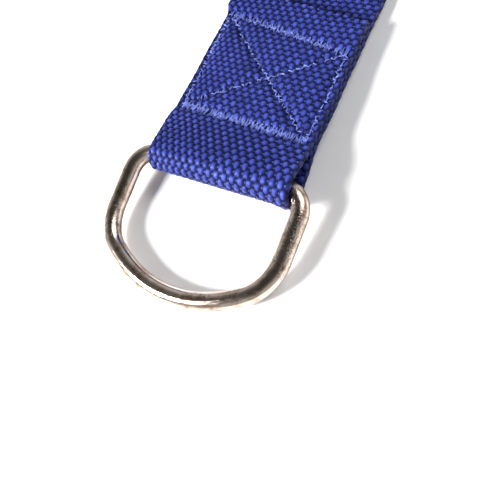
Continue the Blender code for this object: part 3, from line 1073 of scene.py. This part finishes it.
def make_seam(look):
    draw = np.random.default_rng(7)
    for face, upper in (("needle", True), ("bobbin", False)):
        box, cross = Threads(), Threads()
        for name, start, end in seam_lines():
            sew_line(cross if name == "cross" else box, draw, name, start, end, upper)
        for kind, threads in (("box", box), ("cross", cross)):
            piece = threads.object(f"{kind}_seam_{face}_stitches", look)
            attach(piece, "ring_end")
            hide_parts(f"{kind}_seam_{face}_thread")


# ---- frayed flap end


FRAY_ENDS = 210
FRAY_CORNER_ENDS = 70
FRAY_RADIUS = 0.055 * MM


def make_fray(look):
    """Loose ends of yarn along the cut end of the flap, thickest at its +X corner."""
    draw = np.random.default_rng(23)
    threads = Threads()
    for k in range(FRAY_ENDS):
        corner = k < FRAY_CORNER_ENDS
        if corner:
            x = HALF_WIDTH - abs(draw.normal()) * 1.6 * MM - 0.6 * MM
        else:
            x = draw.uniform(-1, 1) * (HALF_WIDTH - MM)
        place = flap_end(np.array(x)) - 0.3 * MM
        length = draw.uniform(0.5, 1.9 if corner else 1.0) * MM
        depth = draw.uniform(-0.9, 0.9) * CORE_THICK / 2
        z = upper_z(x, place) + depth
        share = np.linspace(0, 1, 5)
        swing = draw.normal() * 0.5
        rise = 0.35 * draw.normal()
        y, z = lifted(PLACE_ZERO_Y + place + length * share * 0.8, z + length * (rise * share ** 2))
        line = np.stack([x + length * swing * share ** 2, y, z], axis=1)
        threads.add(line, FRAY_RADIUS * (1 - 0.6 * share), draw.uniform(0, 1), sides=4)
    piece = threads.object("flap_end_fray", look)
    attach(piece, "ring_end")


# ---- the D-ring

WIRE_SIDES = 40
WIRE_STEP = 0.45 * MM
KINK_CENTRE = (-25 * MM, -30 * MM)  # a small outward dent where the wire was bent
KINK_REACH = 5 * MM
KINK_HEIGHT = 0.28 * MM
WIRE_WANDER = 0.10 * MM
WIRE_UNEVEN = 0.012


def arc(centre, radius, start, end):
    count = max(2, round(abs(end - start) * radius / WIRE_STEP))
    angle = np.linspace(start, end, count + 1)[:-1]
    return np.stack([centre[0] + radius * np.cos(angle), centre[1] + radius * np.sin(angle)], axis=1)


def straight(start, end):
    start, end = np.array(start), np.array(end)
    count = max(2, round(np.linalg.norm(end - start) / WIRE_STEP))
    return start + (end - start) * np.linspace(0, 1, count + 1)[:-1, None]


def ring_outline():
    """The wire's centreline as a closed line in the ring's own plane, the bar on the X axis."""
    side = RING_HALF_WIDTH - RING_BEND_RADIUS
    bow_radius = RING_BEND_RADIUS + side / math.cos(RING_BEND_ANGLE)
    bow_centre = (bow_radius - RING_BEND_RADIUS) * math.sin(RING_BEND_ANGLE) - RING_ARM_LENGTH
    corner_x = RING_HALF_WIDTH - RING_CORNER_RADIUS
    half = np.concatenate([
        straight((0, 0), (corner_x, 0)),
        arc((corner_x, -RING_CORNER_RADIUS), RING_CORNER_RADIUS, math.pi / 2, 0),
        straight((RING_HALF_WIDTH, -RING_CORNER_RADIUS), (RING_HALF_WIDTH, -RING_ARM_LENGTH)),
        arc((side, -RING_ARM_LENGTH), RING_BEND_RADIUS, 0, -RING_BEND_ANGLE),
        arc((0, bow_centre), bow_radius, -RING_BEND_ANGLE, -math.pi / 2),
        [(0, bow_centre - bow_radius)],
    ])
    mirrored = half[-2:0:-1] * (-1, 1)
    return np.concatenate([half, mirrored])


def make_ring(look):
    flat = ring_outline()
    steps = len(flat)
    along = np.cumsum(np.linalg.norm(flat - np.roll(flat, 1, axis=0), axis=1))
    tilt = math.asin((BAR.z - WIRE_RADIUS) / -flat[:, 1].min())
    kink = near(np.linalg.norm(flat - KINK_CENTRE, axis=1), KINK_REACH)
    flat = flat + KINK_HEIGHT * kink[:, None] * unit(flat - (0, -15 * MM))
    points = np.stack([
        flat[:, 0],
        BAR.y + flat[:, 1] * math.cos(tilt),
        BAR.z + flat[:, 1] * math.sin(tilt) + WIRE_WANDER * sway(along, (29 * MM, 53 * MM), 52),
    ], axis=1)
    tangent = unit(np.roll(points, -1, axis=0) - np.roll(points, 1, axis=0))
    wheel, angle = wheels(tangent, np.array([0, -math.sin(tilt), math.cos(tilt)]), WIRE_SIDES)
    lobes = np.cos(3 * angle + 1)[None, :]
    rough = 1 + WIRE_UNEVEN * sway(along, (11 * MM, 23 * MM, 6 * MM), 53)[:, None] * lobes
    rings = points[:, None] + wheel * (WIRE_RADIUS * rough)[..., None]
    index = np.arange(steps * WIRE_SIDES).reshape(steps, WIRE_SIDES)
    closed = np.concatenate([index, index[:1]])
    closed = np.concatenate([closed, closed[:, :1]], axis=1)
    ring = mesh_object("ring_wire", rings.reshape(-1, 3), [quads(closed)[:, ::-1]])
    around = np.tile(np.cos(angle), steps)
    store(ring, "wire", np.stack([np.repeat(along / MM, WIRE_SIDES), around, 0 * around], axis=1))
    ring.data.materials.append(look)
    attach(ring, "ring")
    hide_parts("d_ring")


# ---- the scene


def build():
    bpy.context.scene.view_settings.view_transform = "Standard"
    make_camera()
    make_lights()
    make_world()
    make_floor()
    webbing = webbing_look()
    thread = thread_look()
    make_ring(nickel_look())
    make_flat_strap(webbing)
    make_roll(webbing)
    make_seam(thread)
    make_fray(thread)


build()
